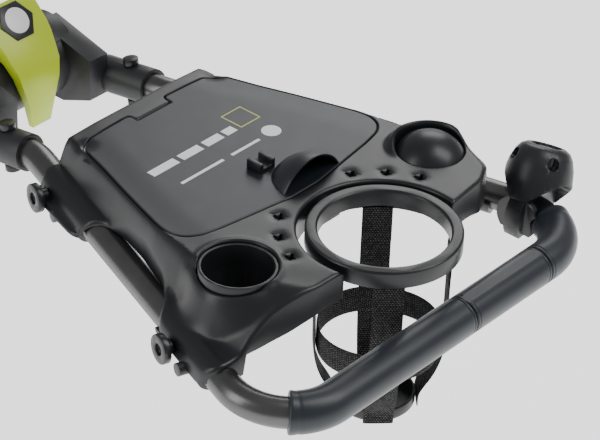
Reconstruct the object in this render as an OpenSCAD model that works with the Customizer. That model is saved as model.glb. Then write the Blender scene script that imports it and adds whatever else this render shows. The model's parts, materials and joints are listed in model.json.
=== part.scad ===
// Three-wheel push golf trolley, unfolded, with its console, handle hub and frame.
// +Z is up, the front wheel is towards -Y and the user stands at +Y.
// The origin is on the ground, in the middle of the trolley's outline.

/* [Layout] */
// Distance from the middle of the trolley back to the drink ring
ring_y = 487.3; // [482:0.1:492]
// Height of the console's flat top above the ground
console_z = 980; // [940:5:1020]
// Drop of the handle plane towards the user, degrees
handle_fall = 3.6; // [2:0.1:5]
// Slope of the main tube above the ground, degrees
main_slope = 59.5; // [59.5:0.1:60]

/* [Handle] */
// Outside radius of the handle tube
tube_r = 12.7; // [12.5:0.1:12.9]
// Wall of the handle tube
tube_wall = 1.6; // [1.2:0.1:2]
// Outside radius of the hand grip
grip_r = 17.1; // [16:0.1:18]
// Half distance between the centres of the two handle bends
bend_x = 132.2; // [130:0.1:134]
// Bend radius of the handle tube
bend_r = 51; // [50:0.5:52]
// Outward flare of each handle arm, degrees
flare = 18.2; // [18:0.1:18.4]

/* [Console] */
// Thickness of the console's top skin
skin = 3; // [2.5:0.5:3.5]
// Depth of the console's skirt
skirt = 27; // [24:1:30]
// Outside radius of the drink ring
ring_outer = 63.8; // [62:0.1:65]
// Inside radius of the drink ring
ring_inner = 53.7; // [50:0.1:56]
// Inside radius of the cup
cup_r = 29; // [26:0.5:30]

/* [Wheels] */
// Radius of a rear wheel
rear_r = 145; // [140:1:150]
// Radius of the front wheel
front_r = 118; // [114:1:119]
// Middle plane of a rear wheel, from the centre line
rear_x = 302; // [300:1:306]
// Width of every tyre
tyre_w = 44; // [38:1:44]

/* [Hidden] */
$fn = 64;
run_gap = 0.05;

// Handle plane: its straight bar, measured from the drink ring
grip_y = 66;
grip_z = -64.2;
arm_top_u = bend_x + bend_r * cos(flare);
arm_top_v = -bend_r - bend_r * sin(flare);
neck_v = -388;
neck_u = arm_top_u - (arm_top_v - neck_v) * tan(flare);
arm_len = (arm_top_v - neck_v) / cos(flare);
neck_y = grip_y + neck_v * cos(handle_fall);
neck_z = grip_z - neck_v * sin(handle_fall);
neck_dip = 9;
neck_len = 62;

// Hub of the folding handle, measured from the drink ring
hub_y = -440;
hub_z = -40;
core_r = 36.5;
core_x = 30.9;
cheek_r = 38;
pin_r = 5;
lever_pivot = [-23, 37];

// Main tube and everything on it, measured along the tube from the hub
main_start = 45;
main_end = 812;
cradle_s = 150;
lower_cradle_s = 700;
leg_hub_s = 560;
leg_off = -42;
bag_r = 116;
front_axle_v = 13.4;
front_axle_s = (console_z + hub_z - front_r + front_axle_v * cos(main_slope)) / sin(main_slope);
axle_r = 6;

// Ground positions of the hub and of the rear frame's pivot
hub_at = [0, ring_y + hub_y, console_z + hub_z];
leg_pivot = [0, hub_at[1] - leg_hub_s * cos(main_slope) - leg_off * sin(main_slope),
    hub_at[2] - leg_hub_s * sin(main_slope) + leg_off * cos(main_slope)];
rear_axle = [0, 150, rear_r];
leg_drop = atan2(leg_pivot[2] - rear_axle[2], rear_axle[1] - leg_pivot[1]);
leg_reach = norm(rear_axle - leg_pivot);
leg_foot_x = 262;
leg_head = [15, 47];
bar_v = 330;

dark = [0.13, 0.14, 0.15];
black = [0.07, 0.07, 0.08];
lime = [0.78, 0.87, 0.2];
graphite = [0.3, 0.31, 0.32];

// ---------- Places ----------
module at_console() { translate([0, ring_y, console_z]) children(); }
module in_handle_plane() { at_console() translate([0, grip_y, grip_z]) rotate([-handle_fall, 0, 0]) children(); }
module at_hub() { translate(hub_at) children(); }
module along_main(s) { at_hub() rotate([90 + main_slope, 0, 0]) translate([0, 0, s]) children(); }
module in_leg_plane() { translate(leg_pivot) rotate([-leg_drop, 0, 0]) children(); }
module both_sides() {
    children();
    mirror([1, 0, 0]) children();
}
module side_of(side) { mirror([side < 0 ? 1 : 0, 0, 0]) children(); }

// A round bar along X from x0 to x1
module x_bar(x0, x1, r) { translate([x0, 0, 0]) rotate([0, 90, 0]) cylinder(r = r, h = x1 - x0); }

// Arm of the handle, its length running from the bend towards the hub
module on_arm(s) { translate([arm_top_u, arm_top_v, 0]) rotate([90, 0, -flare]) translate([0, 0, s]) children(); }
// Neck of the handle tube: its length runs from the neck into the hub's sleeve
module on_neck(s) {
    at_console() translate([neck_u, neck_y, neck_z]) rotate([90 + neck_dip, 0, 0]) translate([0, 0, s]) children();
}
function arm_s(y) = (arm_top_v - (y - grip_y)) / cos(flare);

// ---------- Handle ----------
// The bends are a hair thinner than the straight runs and reach a little into them
bend_lap = 1.5;
hair = 0.1;
module handle_bends(r) {
    both_sides() translate([bend_x, -bend_r, 0]) rotate([0, 0, -flare - bend_lap])
        rotate_extrude(angle = 90 + flare + 2 * bend_lap) translate([bend_r, 0]) circle(r = r - hair);
}
module handle_path(r, extra) {
    in_handle_plane() {
        x_bar(-bend_x, bend_x, r);
        handle_bends(r);
        both_sides() on_arm(0) cylinder(r = r, h = arm_len);
    }
    both_sides() {
        on_neck(0) sphere(r = r + hair);
        on_neck(0) cylinder(r = r, h = neck_len + extra);
    }
}
screw_y = [-269, -61];
screw_in = [24, 22];
module side_screw(y, reach, r, from) {
    in_handle_plane() on_arm(arm_s(y)) rotate([0, 90, 0])
        translate([0, 0, from]) cylinder(r = r, h = reach - from);
}
module handle_bore(r) {
    in_handle_plane() {
        x_bar(-bend_x, bend_x, r);
        handle_bends(r);
        both_sides() on_arm(0) cylinder(r = r, h = arm_len - 14);
    }
    both_sides() on_neck(14) cylinder(r = r, h = neck_len);
}
module handle_tube() {
    color(graphite) difference() {
        handle_path(tube_r, 0, $fn = 32);
        handle_bore(tube_r - tube_wall, $fn = 32);
        both_sides() {
            for (y = screw_y) side_screw(y, 20, 2.6, 0);
            on_neck(32) rotate([90, 0, 0]) cylinder(r = 3.1, h = 40, center = true);
        }
    }
}
module bar_sleeve(x0, x1, outer) {
    in_handle_plane() difference() {
        x_bar(x0, x1, outer);
        x_bar(x0 - 1, x1 + 1, tube_r + run_gap);
    }
}
module bend_sleeve(side, from, outer) {
    in_handle_plane() side_of(side) translate([bend_x, -bend_r, 0]) rotate([0, 0, from])
        rotate_extrude(angle = 90 + bend_lap - from) translate([bend_r, 0]) difference() {
            circle(r = outer - hair);
            circle(r = tube_r + run_gap + hair);
        }
}
seam_inner = -23;
seam_outer = -121;
module grip_left() {
    color("slategray") {
        bar_sleeve(seam_inner + 0.4, bend_x, grip_r);
        bend_sleeve(1, 44, grip_r);
    }
}
module grip_sleeve() { color("slategray") bar_sleeve(seam_outer + 0.4, seam_inner - 0.4, grip_r - 0.3); }
module grip_right() {
    color("slategray") {
        bar_sleeve(-bend_x, seam_outer - 0.4, grip_r);
        bend_sleeve(-1, 23, grip_r);
    }
}

// ---------- Console ----------
shell_half = [[78, -278], [95, -288], [112, -281], [133, -216], [119, -202], [120, -176], [128, -146],
    [142, -108], [164, -90], [173, -82], [192, -20], [178, 0], [150, -4], [112, 10], [75, 15], [66, 15]];
function mirrored(pts) = concat(pts, [for (i = [len(pts) - 1 : -1 : 0]) [-pts[i][0], pts[i][1]]]);
function pull_in(pts, d, cy) = [for (p = pts) [p[0] - sign(p[0]) * d, p[1] - sign(p[1] - cy) * d]];
function crown(x) = -25 * pow(sin(min(90, max(0, abs(x) - 84) * 0.95)), 2);
crown_x = [for (x = [-200 : 10 : 200]) x];
module crown_below(drop, bottom) {
    translate([0, 40, 0]) rotate([90, 0, 0]) linear_extrude(height = 380)
        polygon(concat([for (x = crown_x) [x, crown(x) - drop]], [[200, bottom], [-200, bottom]]));
}
module shell_block(d, drop, bottom) {
    intersection() {
        translate([0, 0, -80]) linear_extrude(height = 90) polygon(pull_in(mirrored(shell_half), d, -130));
        crown_below(drop, bottom);
    }
}
lid_half = [[20.9, -254], [20.9, -264.6], [70, -263], [80, -258], [85, -248], [93, -221], [104, -189],
    [114, -157], [121, -134], [123, -121], [119, -108], [108, -99.5], [90, -95], [50, -89], [16, -84]];
open_half = [[20.5, -254.5], [20.5, -266.4], [70.3, -265.2], [81.2, -259.2], [86, -248.3], [94, -221.3],
    [105, -189.3], [115, -157.3], [122, -134.2], [124, -120.8], [119.8, -107.4], [108.4, -98.5], [90.2, -94],
    [50.1, -88], [16, -83]];
cup_at = [118, -50];
tee_spots = [[44, -73], [66, -53.5], [80, -29]];
// Half collar over the handle tube, with a web that carries it up to the console's skin
module saddle(y0, y1, web) {
    len = arm_s(y0) - arm_s(y1);
    in_handle_plane() on_arm(arm_s(y1)) difference() {
        union() {
            cylinder(r = tube_r + 4, h = len);
            translate([-7, 8, 0]) cube([14, web, len]);
        }
        translate([-30, -40, -1]) cube([60, 40, 120]);
    }
}
module console_top() {
    color(dark) difference() {
        union() {
            at_console() difference() {
                shell_block(0, 0, -skirt);
                shell_block(skin, skin, -skirt - 5);
            }
            both_sides() {
                saddle(-286, -216, 6);
                saddle(-88, -18, 22);
            }
            at_console() translate([-20.5, -266, -8]) cube([41, 11.5, 7]);
        }
        at_console() {
            translate([0, 0, -20]) linear_extrude(height = 30) polygon(mirrored(open_half));
            translate([0, -0.5, -70]) cylinder(r = 70, h = 90);
            both_sides() {
                for (t = tee_spots) translate([t[0], t[1], -20]) cylinder(r = 2.4, h = 30);
                translate([cup_at[0], cup_at[1], -60]) cylinder(r = cup_r + 2.9, h = 70);
            }
            translate([0, -258, -4]) x_bar(-30, 30, 1.5);
            // Room for the lid to swing: at its far corners and over the hinge tongue
            both_sides() translate([0, -258, -4]) x_bar(66, 83, 6.3);
            difference() {
                translate([-20.6, -259.5, -4]) cube([41.2, 6, 6]);
                translate([0, -258, -4]) x_bar(-22, 22, 3.8);
            }
        }
        both_sides() for (y = screw_y) side_screw(y, 40, 2.6, 0);
        handle_path(tube_r + run_gap, 0);
        at_console() translate([-12.2, -75, -18.6]) cube([24.4, 20, 5.8]);
        at_holder() difference() {
            translate([0, 0, -20]) cylinder(r = 45, h = 60);
            translate([0, 0, -21]) cylinder(r = drum_r - 2, h = 62);
        }
    }
}
module console_tray() {
    color(black) at_console() difference() {
        union() {
            translate([-84, -240.5, -50]) cube([168, 144.5, 46]);
            translate([-92, -248, -6]) cube([184, 156, 2]);
        }
        translate([-81.5, -238, -47.5]) cube([163, 139.5, 60]);
    }
}
module clamp_half(y0, y1) {
    in_handle_plane() on_arm(arm_s(y1)) difference() {
        cylinder(r = tube_r + 4, h = arm_s(y0) - arm_s(y1));
        translate([-30, -0.4, -1]) cube([60, 40, 120]);
        translate([0, 0, -1]) cylinder(r = tube_r + run_gap, h = 120);
    }
}
module tube_clamps() {
    color(black) difference() {
        both_sides() {
            clamp_half(-284, -218);
            clamp_half(-86, -20);
            for (y = screw_y) in_handle_plane() on_arm(arm_s(y + 12)) rotate([0, 90, 0])
                translate([9, -6, 13.5]) cylinder(r = 5.5, h = 9);
        }
        both_sides() for (y = screw_y) side_screw(y, 40, 2.6, 0);
        handle_path(tube_r + run_gap, 0);
    }
}
module clamp_screws() {
    color(black) both_sides() for (i = [0, 1]) {
        side_screw(screw_y[i], screw_in[i] + 1, 2.5, tube_r - tube_wall - 4);
        side_screw(screw_y[i], screw_in[i], 6.5, tube_r + 4.2);
        difference() {
            side_screw(screw_y[i], screw_in[i] + 6, 12.5, screw_in[i]);
            side_screw(screw_y[i], screw_in[i] + 7, 5, screw_in[i] + 3);
        }
    }
}
module lid_hinge_pin() { color("silver") at_console() translate([0, -258, -4]) x_bar(-36, 36, 1.5); }
module lid() {
    color(dark) at_console() difference() {
        union() {
            intersection() {
                translate([0, 0, -40]) linear_extrude(height = 60) polygon(mirrored(lid_half));
                difference() {
                    crown_below(0.2, -40);
                    crown_below(2.7, -45);
                }
            }
            both_sides() translate([0, -258, -4]) x_bar(21.2, 35, 3.4);
            intersection() {
                translate([-15, -90, -18]) difference() {
                    sphere(r = 38);
                    sphere(r = 35.5);
                }
                translate([-60, -130, -1.5]) cube([90, 40, 40]);
            }
        }
        translate([0, -258, -4]) x_bar(-40, 40, 1.5 + run_gap);
    }
}
module pencil_clip() {
    color(black) at_console() translate([-8, -140, -0.2]) difference() {
        cube([18, 15.5, 8]);
        translate([4, -1, 3]) cube([10, 20, 8]);
    }
}
module cup_insert() {
    color(black) at_console() translate([cup_at[0], cup_at[1], -42]) rotate_extrude()
        polygon([[0, 0], [26, 0], [cup_r + 2.8, 22], [cup_r + 2.8, 41], [cup_r, 41], [cup_r, 22.5],
            [24, 2.5], [0, 2.5]]);
}
module ball_dome() {
    color(dark) at_console() translate([-cup_at[0], cup_at[1], -20]) intersection() {
        difference() {
            sphere(r = 34);
            sphere(r = 31.5);
        }
        cylinder(r = cup_r + 2.8, h = 60);
    }
}
module drink_ring() {
    color(dark) at_console() {
        translate([0, 0, -13.5]) rotate_extrude() translate([ring_inner, 0])
            polygon([[0, 0], [ring_outer - ring_inner, 0], [ring_outer - ring_inner, 13.5],
                [ring_outer - ring_inner - 1.5, 15], [1.5, 15], [0, 13.5]]);
        translate([-12, -74.5, -18.4]) cube([24, 18, 5.4]);
    }
}
strap_w = 25;
module webbing(r0, z0, r1, z1) {
    run = norm([r1 - r0, z1 - z0]);
    translate([r0, 0, z0]) rotate([0, atan2(r1 - r0, z1 - z0), 0])
        translate([0, -strap_w / 2, 0]) cube([1.8, strap_w, run]);
}
module basket_straps() {
    color(black) at_console() for (a = [45, 135, 225, 315]) rotate([0, 0, a]) {
        webbing(52.4, -117, 55.4, -14.6);
        webbing(34, -158, 52.4, -117);
    }
}
module basket_hoop() {
    color(black) at_console() translate([0, 0, -115.5]) rotate_extrude()
        translate([49.4, 0]) square([1.8, strap_w]);
}
module basket_base() {
    color(black) at_console() translate([0, 0, -170]) rotate_extrude()
        polygon([[0, 0], [31, 0], [33.5, 3], [33.5, 12], [31, 12], [31, 3.5], [0, 3.5]]);
}

// ---------- Umbrella holder ----------
holder_turn = 4.7;
drum_r = 30;
holder_lean = 28;
holder_tip = 7;
// Middle of the holder, on the right-hand bend: +z runs forward along the tube, +x outwards and +y up
module at_holder() {
    in_handle_plane() mirror([1, 0, 0]) translate([bend_x, -bend_r, 0]) rotate([0, 0, -holder_turn])
        translate([bend_r, 0, 0]) rotate([90, 0, 0]) children();
}
// The socket's own axis leans outwards and tips forward
module on_socket() {
    at_holder() rotate([0, 0, -holder_lean]) rotate([holder_tip - 90, 0, 0]) children();
}
module umbrella_bracket() {
    color(black) difference() {
        at_holder() {
            intersection() {
                translate([0, 0, -7.25]) cylinder(r = drum_r, h = 14.5);
                translate([-40, -17, -10]) cube([80, 60, 40]);
            }
            translate([-21, 0, 0]) rotate([0, 90, 0]) intersection() {
                cylinder(r = 20, h = 6);
                translate([-30, -14, -1]) cube([60, 50, 10]);
            }
        }
        handle_path(tube_r + run_gap, 0);
        bend_sleeve(-1, 19, grip_r + 1);
    }
}
module umbrella_socket() {
    color(black) difference() {
        on_socket() rotate_extrude()
            polygon([[0, 6], [31, 6], [30.5, 24], [28, 38], [25, 46.5], [21.5, 51.5], [17, 54], [0, 54]]);
        at_holder() translate([0, 0, -50]) cylinder(r = drum_r + 0.5, h = 100);
        on_socket() {
            translate([0, 0, 33.5]) cylinder(r = 14, h = 60);
            for (a = [45 : 90 : 315]) rotate([0, 0, a]) translate([0, 0, 42]) rotate([0, 90, 0])
                cylinder(r = 5.5, h = 40);
        }
    }
}
module umbrella_petals() {
    color("gray") on_socket() difference() {
        translate([0, 0, 33.7]) cylinder(r = 13.9, h = 18);
        translate([0, 0, 36.5]) cylinder(r = 11.5, h = 60);
        for (a = [0, 60, 120]) rotate([0, 0, a]) translate([-20, -0.8, 39]) cube([40, 1.6, 40]);
    }
}

// ---------- Folding hub ----------
module hub_core() {
    color(black) difference() {
        union() {
            at_hub() x_bar(-core_x, core_x, core_r);
            at_hub() translate([0, lever_pivot[0], lever_pivot[1]]) x_bar(-11, 11, 6);
            at_hub() translate([-11, lever_pivot[0] - 6, 0]) cube([22, 12, lever_pivot[1]]);
            along_main(20) linear_extrude(height = 62) stadium(21);
        }
        at_hub() x_bar(-40, 40, pin_r);
        at_hub() translate([0, lever_pivot[0], lever_pivot[1]]) x_bar(-20, 20, 2.5);
        along_main(main_start) linear_extrude(height = 100) stadium(17);
    }
}
module hub_pin() {
    color("dimgray") at_hub() {
        x_bar(-57.5, 57.5, pin_r);
        both_sides() x_bar(57.4, 62, 10);
    }
}
module lever_pin() { color("silver") at_hub() translate([0, lever_pivot[0], lever_pivot[1]]) x_bar(-25, 25, 2.5); }
module cheek(side) {
    color(black) difference() {
        union() {
            side_of(side) {
                at_hub() x_bar(core_x + 0.6, 57, cheek_r);
                at_hub() translate([44, 0, 0]) rotate([90, 0, 90]) linear_extrude(height = 22)
                    polygon([[0, 34], [64, 18], [64, -22], [30, -36], [0, -36]]);
                on_neck(7) cylinder(r = 16.5, h = 60);
            }
        }
        at_hub() x_bar(-80, 80, pin_r + run_gap);
        side_of(side) {
            at_hub() x_bar(57.05, 80, 10.5);
            on_neck(-10) cylinder(r = tube_r + run_gap, h = 10 + neck_len + 0.2);
            on_neck(32) rotate([90, 0, 0]) cylinder(r = 3.1, h = 60, center = true);
        }
    }
}
module hub_cheek_left() { cheek(1); }
module hub_cheek_right() { cheek(-1); }
module sleeve_bolts() {
    color(black) both_sides() on_neck(32) rotate([90, 0, 0]) {
        cylinder(r = 3, h = 44, center = true);
        translate([0, 0, 16.6]) cylinder(r = 7, h = 6);
        translate([0, 0, -22.6]) cylinder(r = 7, h = 6);
    }
}
// Side view of the lever round the hub, and its outline seen from the user
lever_side = [[-23, 45], [-6, 62], [4, 73], [32, 45], [46, 25], [49.5, 8], [49.5, -12], [48, -33], [43, -33],
    [42, -20], [41, 0], [37, 17], [28, 29], [14, 38], [0, 40.5], [-12, 41], [-14, 37], [-23, 34]];
lever_front = [[30, 80], [30, 52], [27, 36], [22, 12], [15, -12], [11, -33], [-11, -33], [-15, -12], [-22, 12],
    [-27, 36], [-30, 52], [-30, 80]];
module fold_lever() {
    color(lime) at_hub() difference() {
        union() {
            intersection() {
                translate([-30, 0, 0]) rotate([90, 0, 90]) linear_extrude(height = 60) polygon(lever_side);
                translate([0, 90, 0]) rotate([90, 0, 0]) linear_extrude(height = 160) polygon(lever_front);
            }
            translate([0, lever_pivot[0], lever_pivot[1]]) x_bar(-24, 24, 6.7);
        }
        translate([0, lever_pivot[0], lever_pivot[1]]) x_bar(-40, 40, 2.5 + run_gap);
        translate([0, lever_pivot[0], lever_pivot[1]]) x_bar(-11.6, 11.6, 9);
        translate([-11.6, lever_pivot[0] - 9, 10]) cube([23.2, 17, 60]);
        x_bar(-40, 40, core_r + 1);
    }
}
module on_badge(h) { at_hub() translate([0, 18, 59]) rotate([-46, 0, 0]) translate([0, 0, h]) children(); }
module badge_plate() { color(dark) on_badge(0.25) cylinder(r = 19, h = 1.2, $fn = 6); }
module badge_disc() { color("white") on_badge(1.5) cylinder(r = 12, h = 0.8); }

// ---------- Main frame ----------
// Rounded oblong outline, r its half depth
module stadium(r) {
    square([18, 2 * r], center = true);
    for (x = [-9, 9]) translate([x, 0]) circle(r = r);
}
module main_tube() {
    color(graphite) along_main(main_start) difference() {
        linear_extrude(height = main_end - main_start) stadium(17);
        translate([0, 0, -1]) linear_extrude(height = main_end) stadium(15);
    }
}
module bag_arc(r0, r1, half, h) {
    translate([0, bag_r + 27, 0]) rotate([0, 0, 270 - half]) rotate_extrude(angle = 2 * half)
        translate([r0, 0]) square([r1 - r0, h]);
}
module tube_band(h) {
    difference() {
        union() {
            linear_extrude(height = h) stadium(21);
            translate([-22, 15, 0]) cube([44, 11.8, h]);
        }
        translate([0, 0, -1]) linear_extrude(height = h + 2) stadium(17);
    }
}
module upper_cradle() {
    color(black) along_main(cradle_s) {
        tube_band(30);
        translate([0, 0, 1.5]) bag_arc(bag_r, bag_r + 8, 52, 27);
    }
}
module upper_strap() { color("black") along_main(cradle_s + 2.5) bag_arc(bag_r - 2, bag_r - 0.1, 52, 25); }
module lower_cradle() {
    color(black) along_main(lower_cradle_s) {
        tube_band(30);
        translate([0, 0, 1.5]) bag_arc(bag_r, bag_r + 8, 52, 27);
        difference() {
            translate([-70, 18, 58]) cube([140, 105, 6]);
            translate([0, 75, 50]) cylinder(r = 24, h = 30);
        }
        difference() {
            translate([-24, 18, 29]) cube([48, 9, 30]);
            translate([-12, 10, 34]) cube([24, 30, 20]);
        }
    }
}
module lower_strap() { color("black") along_main(lower_cradle_s + 2.5) bag_arc(bag_r - 2, bag_r - 0.1, 52, 25); }
module lower_hub() {
    color(black) difference() {
        union() {
            along_main(leg_hub_s - 38) linear_extrude(height = 76) stadium(21);
            both_sides() {
                translate(leg_pivot) x_bar(34, 46, 17);
                along_main(leg_hub_s - 17) translate([34.4, leg_off, 0]) cube([11.2, 30, 34]);
                along_main(leg_hub_s - 14) translate([20, -26, 0]) cube([25.2, 20, 28]);
            }
        }
        along_main(leg_hub_s - 60) linear_extrude(height = 130) stadium(17);
        translate(leg_pivot) x_bar(-60, 60, axle_r);
        translate(leg_pivot) x_bar(-33.9, 33.9, 19.5);
    }
}
module leg_pin() {
    color("dimgray") translate(leg_pivot) {
        x_bar(-46.1, 60, axle_r);
        x_bar(-52, -46.1, 12);
        x_bar(58.4, 62, 9);
    }
}
module front_fork() {
    color(black) along_main(0) difference() {
        union() {
            translate([0, 0, main_end - 42]) linear_extrude(height = 58) stadium(21);
            translate([-43, -18, main_end + 2]) cube([86, 40, 14]);
            both_sides() {
                translate([35, -18, main_end + 2]) cube([8, 40, front_axle_s - main_end - 2]);
                translate([0, front_axle_v, front_axle_s]) x_bar(35, 43, 20);
            }
        }
        translate([0, 0, main_end - 60]) linear_extrude(height = 60) stadium(17);
        translate([0, front_axle_v, front_axle_s]) x_bar(-60, 60, axle_r);
    }
}
module front_axle() {
    color("silver") along_main(0) translate([0, front_axle_v, front_axle_s]) {
        x_bar(-43.1, 43.1, axle_r);
        both_sides() x_bar(43.1, 50, 10);
    }
}

// ---------- Rear frame ----------
leg_run = norm([leg_foot_x - leg_head[0], leg_reach - leg_head[1]]);
leg_turn = atan2(leg_foot_x - leg_head[0], leg_reach - leg_head[1]);
module on_leg(s) {
    in_leg_plane() translate([leg_head[0], leg_head[1], 0]) rotate([-90, 0, -leg_turn])
        translate([0, 0, s]) children();
}
leg_start = 24;
module rear_yoke() {
    color(black) difference() {
        union() {
            in_leg_plane() x_bar(-33.3, 33.3, 16);
            in_leg_plane() translate([-33.3, 0, -15]) cube([66.6, 68, 30]);
            both_sides() on_leg(leg_start - 6) cylinder(r = 16, h = 44);
        }
        in_leg_plane() x_bar(-60, 60, axle_r + run_gap);
        both_sides() on_leg(leg_start) cylinder(r = tube_r, h = 100);
    }
}
brake_off = 40;
module leg(side) {
    color(graphite) difference() {
        side_of(side) {
            on_leg(leg_start) cylinder(r = tube_r, h = leg_run - leg_start);
            translate(rear_axle) x_bar(leg_foot_x - 14, leg_foot_x + 14, 17);
            translate(rear_axle) rotate([-leg_drop, 0, 0]) translate([0, -brake_off, 0])
                x_bar(leg_foot_x - 2, leg_foot_x + 14, 10);
            translate(rear_axle) rotate([-leg_drop, 0, 0]) translate([leg_foot_x - 2, -brake_off, -8])
                cube([16, brake_off, 16]);
        }
        translate(rear_axle) x_bar(-400, 400, axle_r);
        translate(rear_axle) rotate([-leg_drop, 0, 0]) translate([0, -brake_off, 0]) x_bar(-400, 400, 5 + run_gap);
        in_leg_plane() translate([0, bar_v, 0]) x_bar(-bar_end, bar_end, 9.5);
    }
}
bar_end = leg_head[0] + (bar_v - leg_head[1]) * tan(leg_turn);
module rear_leg_left() { leg(1); }
module rear_leg_right() { leg(-1); }
module rear_axles() {
    color("silver") both_sides() translate(rear_axle) x_bar(leg_foot_x - 16, rear_x + 15, axle_r);
}
module rear_crossbar() {
    color(graphite) in_leg_plane() translate([0, bar_v, 0]) difference() {
        x_bar(-bar_end, bar_end, 9.5);
        x_bar(-bar_end - 1, bar_end + 1, 8);
    }
}
module brake_cables() {
    color("black") both_sides() on_leg(120) translate([0, -15.4, 0]) cylinder(r = 2.5, h = leg_run - 200);
}
module brake_pedal() {
    color(lime) in_leg_plane() translate([0, bar_v, 0]) difference() {
        union() {
            both_sides() x_bar(14, 30, 14);
            translate([-30, 8, -6]) cube([60, 24, 8]);
            translate([-36, 30, -6]) cube([72, 46, 8]);
        }
        x_bar(-60, 60, 9.5 + run_gap);
        for (y = [38 : 9 : 66]) translate([-30, y, 0.5]) cube([60, 3, 4]);
    }
}
module brake_pin(side) {
    color("silver") side_of(side) translate(rear_axle) rotate([-leg_drop, 0, 0]) translate([0, -brake_off, 0]) {
        x_bar(leg_foot_x - 51, leg_foot_x + 17, 5);
        x_bar(leg_foot_x - 55, leg_foot_x - 50, 8);
    }
}
module brake_pin_left() { brake_pin(1); }
module brake_pin_right() { brake_pin(-1); }
module leg_lock_lever() {
    color(lime) translate(leg_pivot) difference() {
        union() {
            x_bar(46.6, 58, 15);
            rotate([main_slope - 90, 0, 0]) translate([47.2, -9, 4]) cube([8, 18, 62]);
        }
        x_bar(40, 60, axle_r + run_gap);
    }
}

// ---------- Wheels ----------
// One wheel about the X axis with its middle plane at x = 0
module rim(r, spokes) {
    color(dark) difference() {
        union() {
            rotate([0, 90, 0]) rotate_extrude() polygon([[r - 24, -13], [r - 13, -17], [r - 13, 17], [r - 24, 13],
                [r - 27, 8], [r - 27, -8]]);
            x_bar(-18, 18, 25);
            x_bar(-13, -9, 54);
            for (i = [0 : spokes - 1]) rotate([i * 360 / spokes, 0, 0]) for (y = [-13, 7]) translate([-7, y, 14])
                cube([14, 6, r - 39]);
        }
        x_bar(-30, 30, 13);
    }
}
module tyre(r) {
    color("black") rotate([0, 90, 0]) rotate_extrude() difference() {
        translate([r - 22, 0]) intersection() {
            circle(r = 22);
            square([44, tyre_w], center = true);
        }
        polygon([[r - 60, -40], [r - 60, 40], [r - 13 - 8, 30], [r - 13, 17.05], [r - 13, -17.05], [r - 21, -30]]);
    }
}
module bearings() {
    color("silver") both_sides() difference() {
        x_bar(9, 18, 13);
        x_bar(8, 19, axle_r + run_gap);
    }
}
module cap() {
    color(lime) difference() {
        x_bar(18.1, 22, 26);
        x_bar(17, 20.5, 13);
    }
}
module at_rear(side) { side_of(side) translate([rear_x, rear_axle[1], rear_axle[2]]) children(); }
module at_front() { along_main(0) translate([0, front_axle_v, front_axle_s]) children(); }
module rim_left() { at_rear(1) rim(rear_r, 5); }
module tyre_left() { at_rear(1) tyre(rear_r); }
module bearings_left() { at_rear(1) bearings(); }
module cap_left() { at_rear(1) cap(); }
module rim_right() { at_rear(-1) rim(rear_r, 5); }
module tyre_right() { at_rear(-1) tyre(rear_r); }
module bearings_right() { at_rear(-1) bearings(); }
module cap_right() { at_rear(-1) cap(); }
module rim_front() { at_front() rim(front_r, 5); }
module tyre_front() { at_front() tyre(front_r); }
module bearings_front() { at_front() bearings(); }

main_tube();
hub_core();
hub_pin();
lever_pin();
upper_cradle();
upper_strap();
lower_cradle();
lower_strap();
lower_hub();
leg_pin();
front_fork();
front_axle();
hub_cheek_left();
hub_cheek_right();
sleeve_bolts();
handle_tube();
grip_left();
grip_sleeve();
grip_right();
console_top();
console_tray();
tube_clamps();
clamp_screws();
lid_hinge_pin();
cup_insert();
ball_dome();
drink_ring();
basket_straps();
basket_hoop();
basket_base();
umbrella_bracket();
umbrella_socket();
umbrella_petals();
fold_lever();
badge_plate();
badge_disc();
lid();
pencil_clip();
rear_yoke();
rear_leg_left();
rear_leg_right();
rear_axles();
rear_crossbar();
brake_cables();
leg_lock_lever();
brake_pedal();
brake_pin_left();
brake_pin_right();
rim_left();
tyre_left();
bearings_left();
cap_left();
rim_right();
tyre_right();
bearings_right();
cap_right();
rim_front();
tyre_front();
bearings_front();
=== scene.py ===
import json
import math
import bmesh
import bpy
import numpy as np
from mathutils import Matrix, Vector, geometry
from mathutils.kdtree import KDTree

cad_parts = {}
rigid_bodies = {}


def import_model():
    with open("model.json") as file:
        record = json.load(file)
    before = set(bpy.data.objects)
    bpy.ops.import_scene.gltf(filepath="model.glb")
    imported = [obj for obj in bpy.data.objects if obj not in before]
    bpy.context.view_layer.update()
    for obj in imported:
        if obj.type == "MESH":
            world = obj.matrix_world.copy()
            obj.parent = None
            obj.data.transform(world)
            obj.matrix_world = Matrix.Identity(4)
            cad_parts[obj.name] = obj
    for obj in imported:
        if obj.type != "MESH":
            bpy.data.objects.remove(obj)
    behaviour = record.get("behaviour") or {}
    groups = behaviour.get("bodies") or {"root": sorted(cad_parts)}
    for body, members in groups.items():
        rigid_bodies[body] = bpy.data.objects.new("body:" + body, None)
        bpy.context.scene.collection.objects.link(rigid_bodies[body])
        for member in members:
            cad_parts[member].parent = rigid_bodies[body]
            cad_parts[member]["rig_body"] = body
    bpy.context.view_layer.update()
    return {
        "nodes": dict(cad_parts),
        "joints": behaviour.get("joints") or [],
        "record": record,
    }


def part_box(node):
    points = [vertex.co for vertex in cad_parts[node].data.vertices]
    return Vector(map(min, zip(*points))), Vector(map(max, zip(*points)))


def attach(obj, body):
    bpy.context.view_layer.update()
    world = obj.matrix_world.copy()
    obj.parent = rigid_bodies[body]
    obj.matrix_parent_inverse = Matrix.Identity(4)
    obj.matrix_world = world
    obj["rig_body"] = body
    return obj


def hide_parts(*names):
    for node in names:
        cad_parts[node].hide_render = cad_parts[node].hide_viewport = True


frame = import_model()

MM = 0.001

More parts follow.
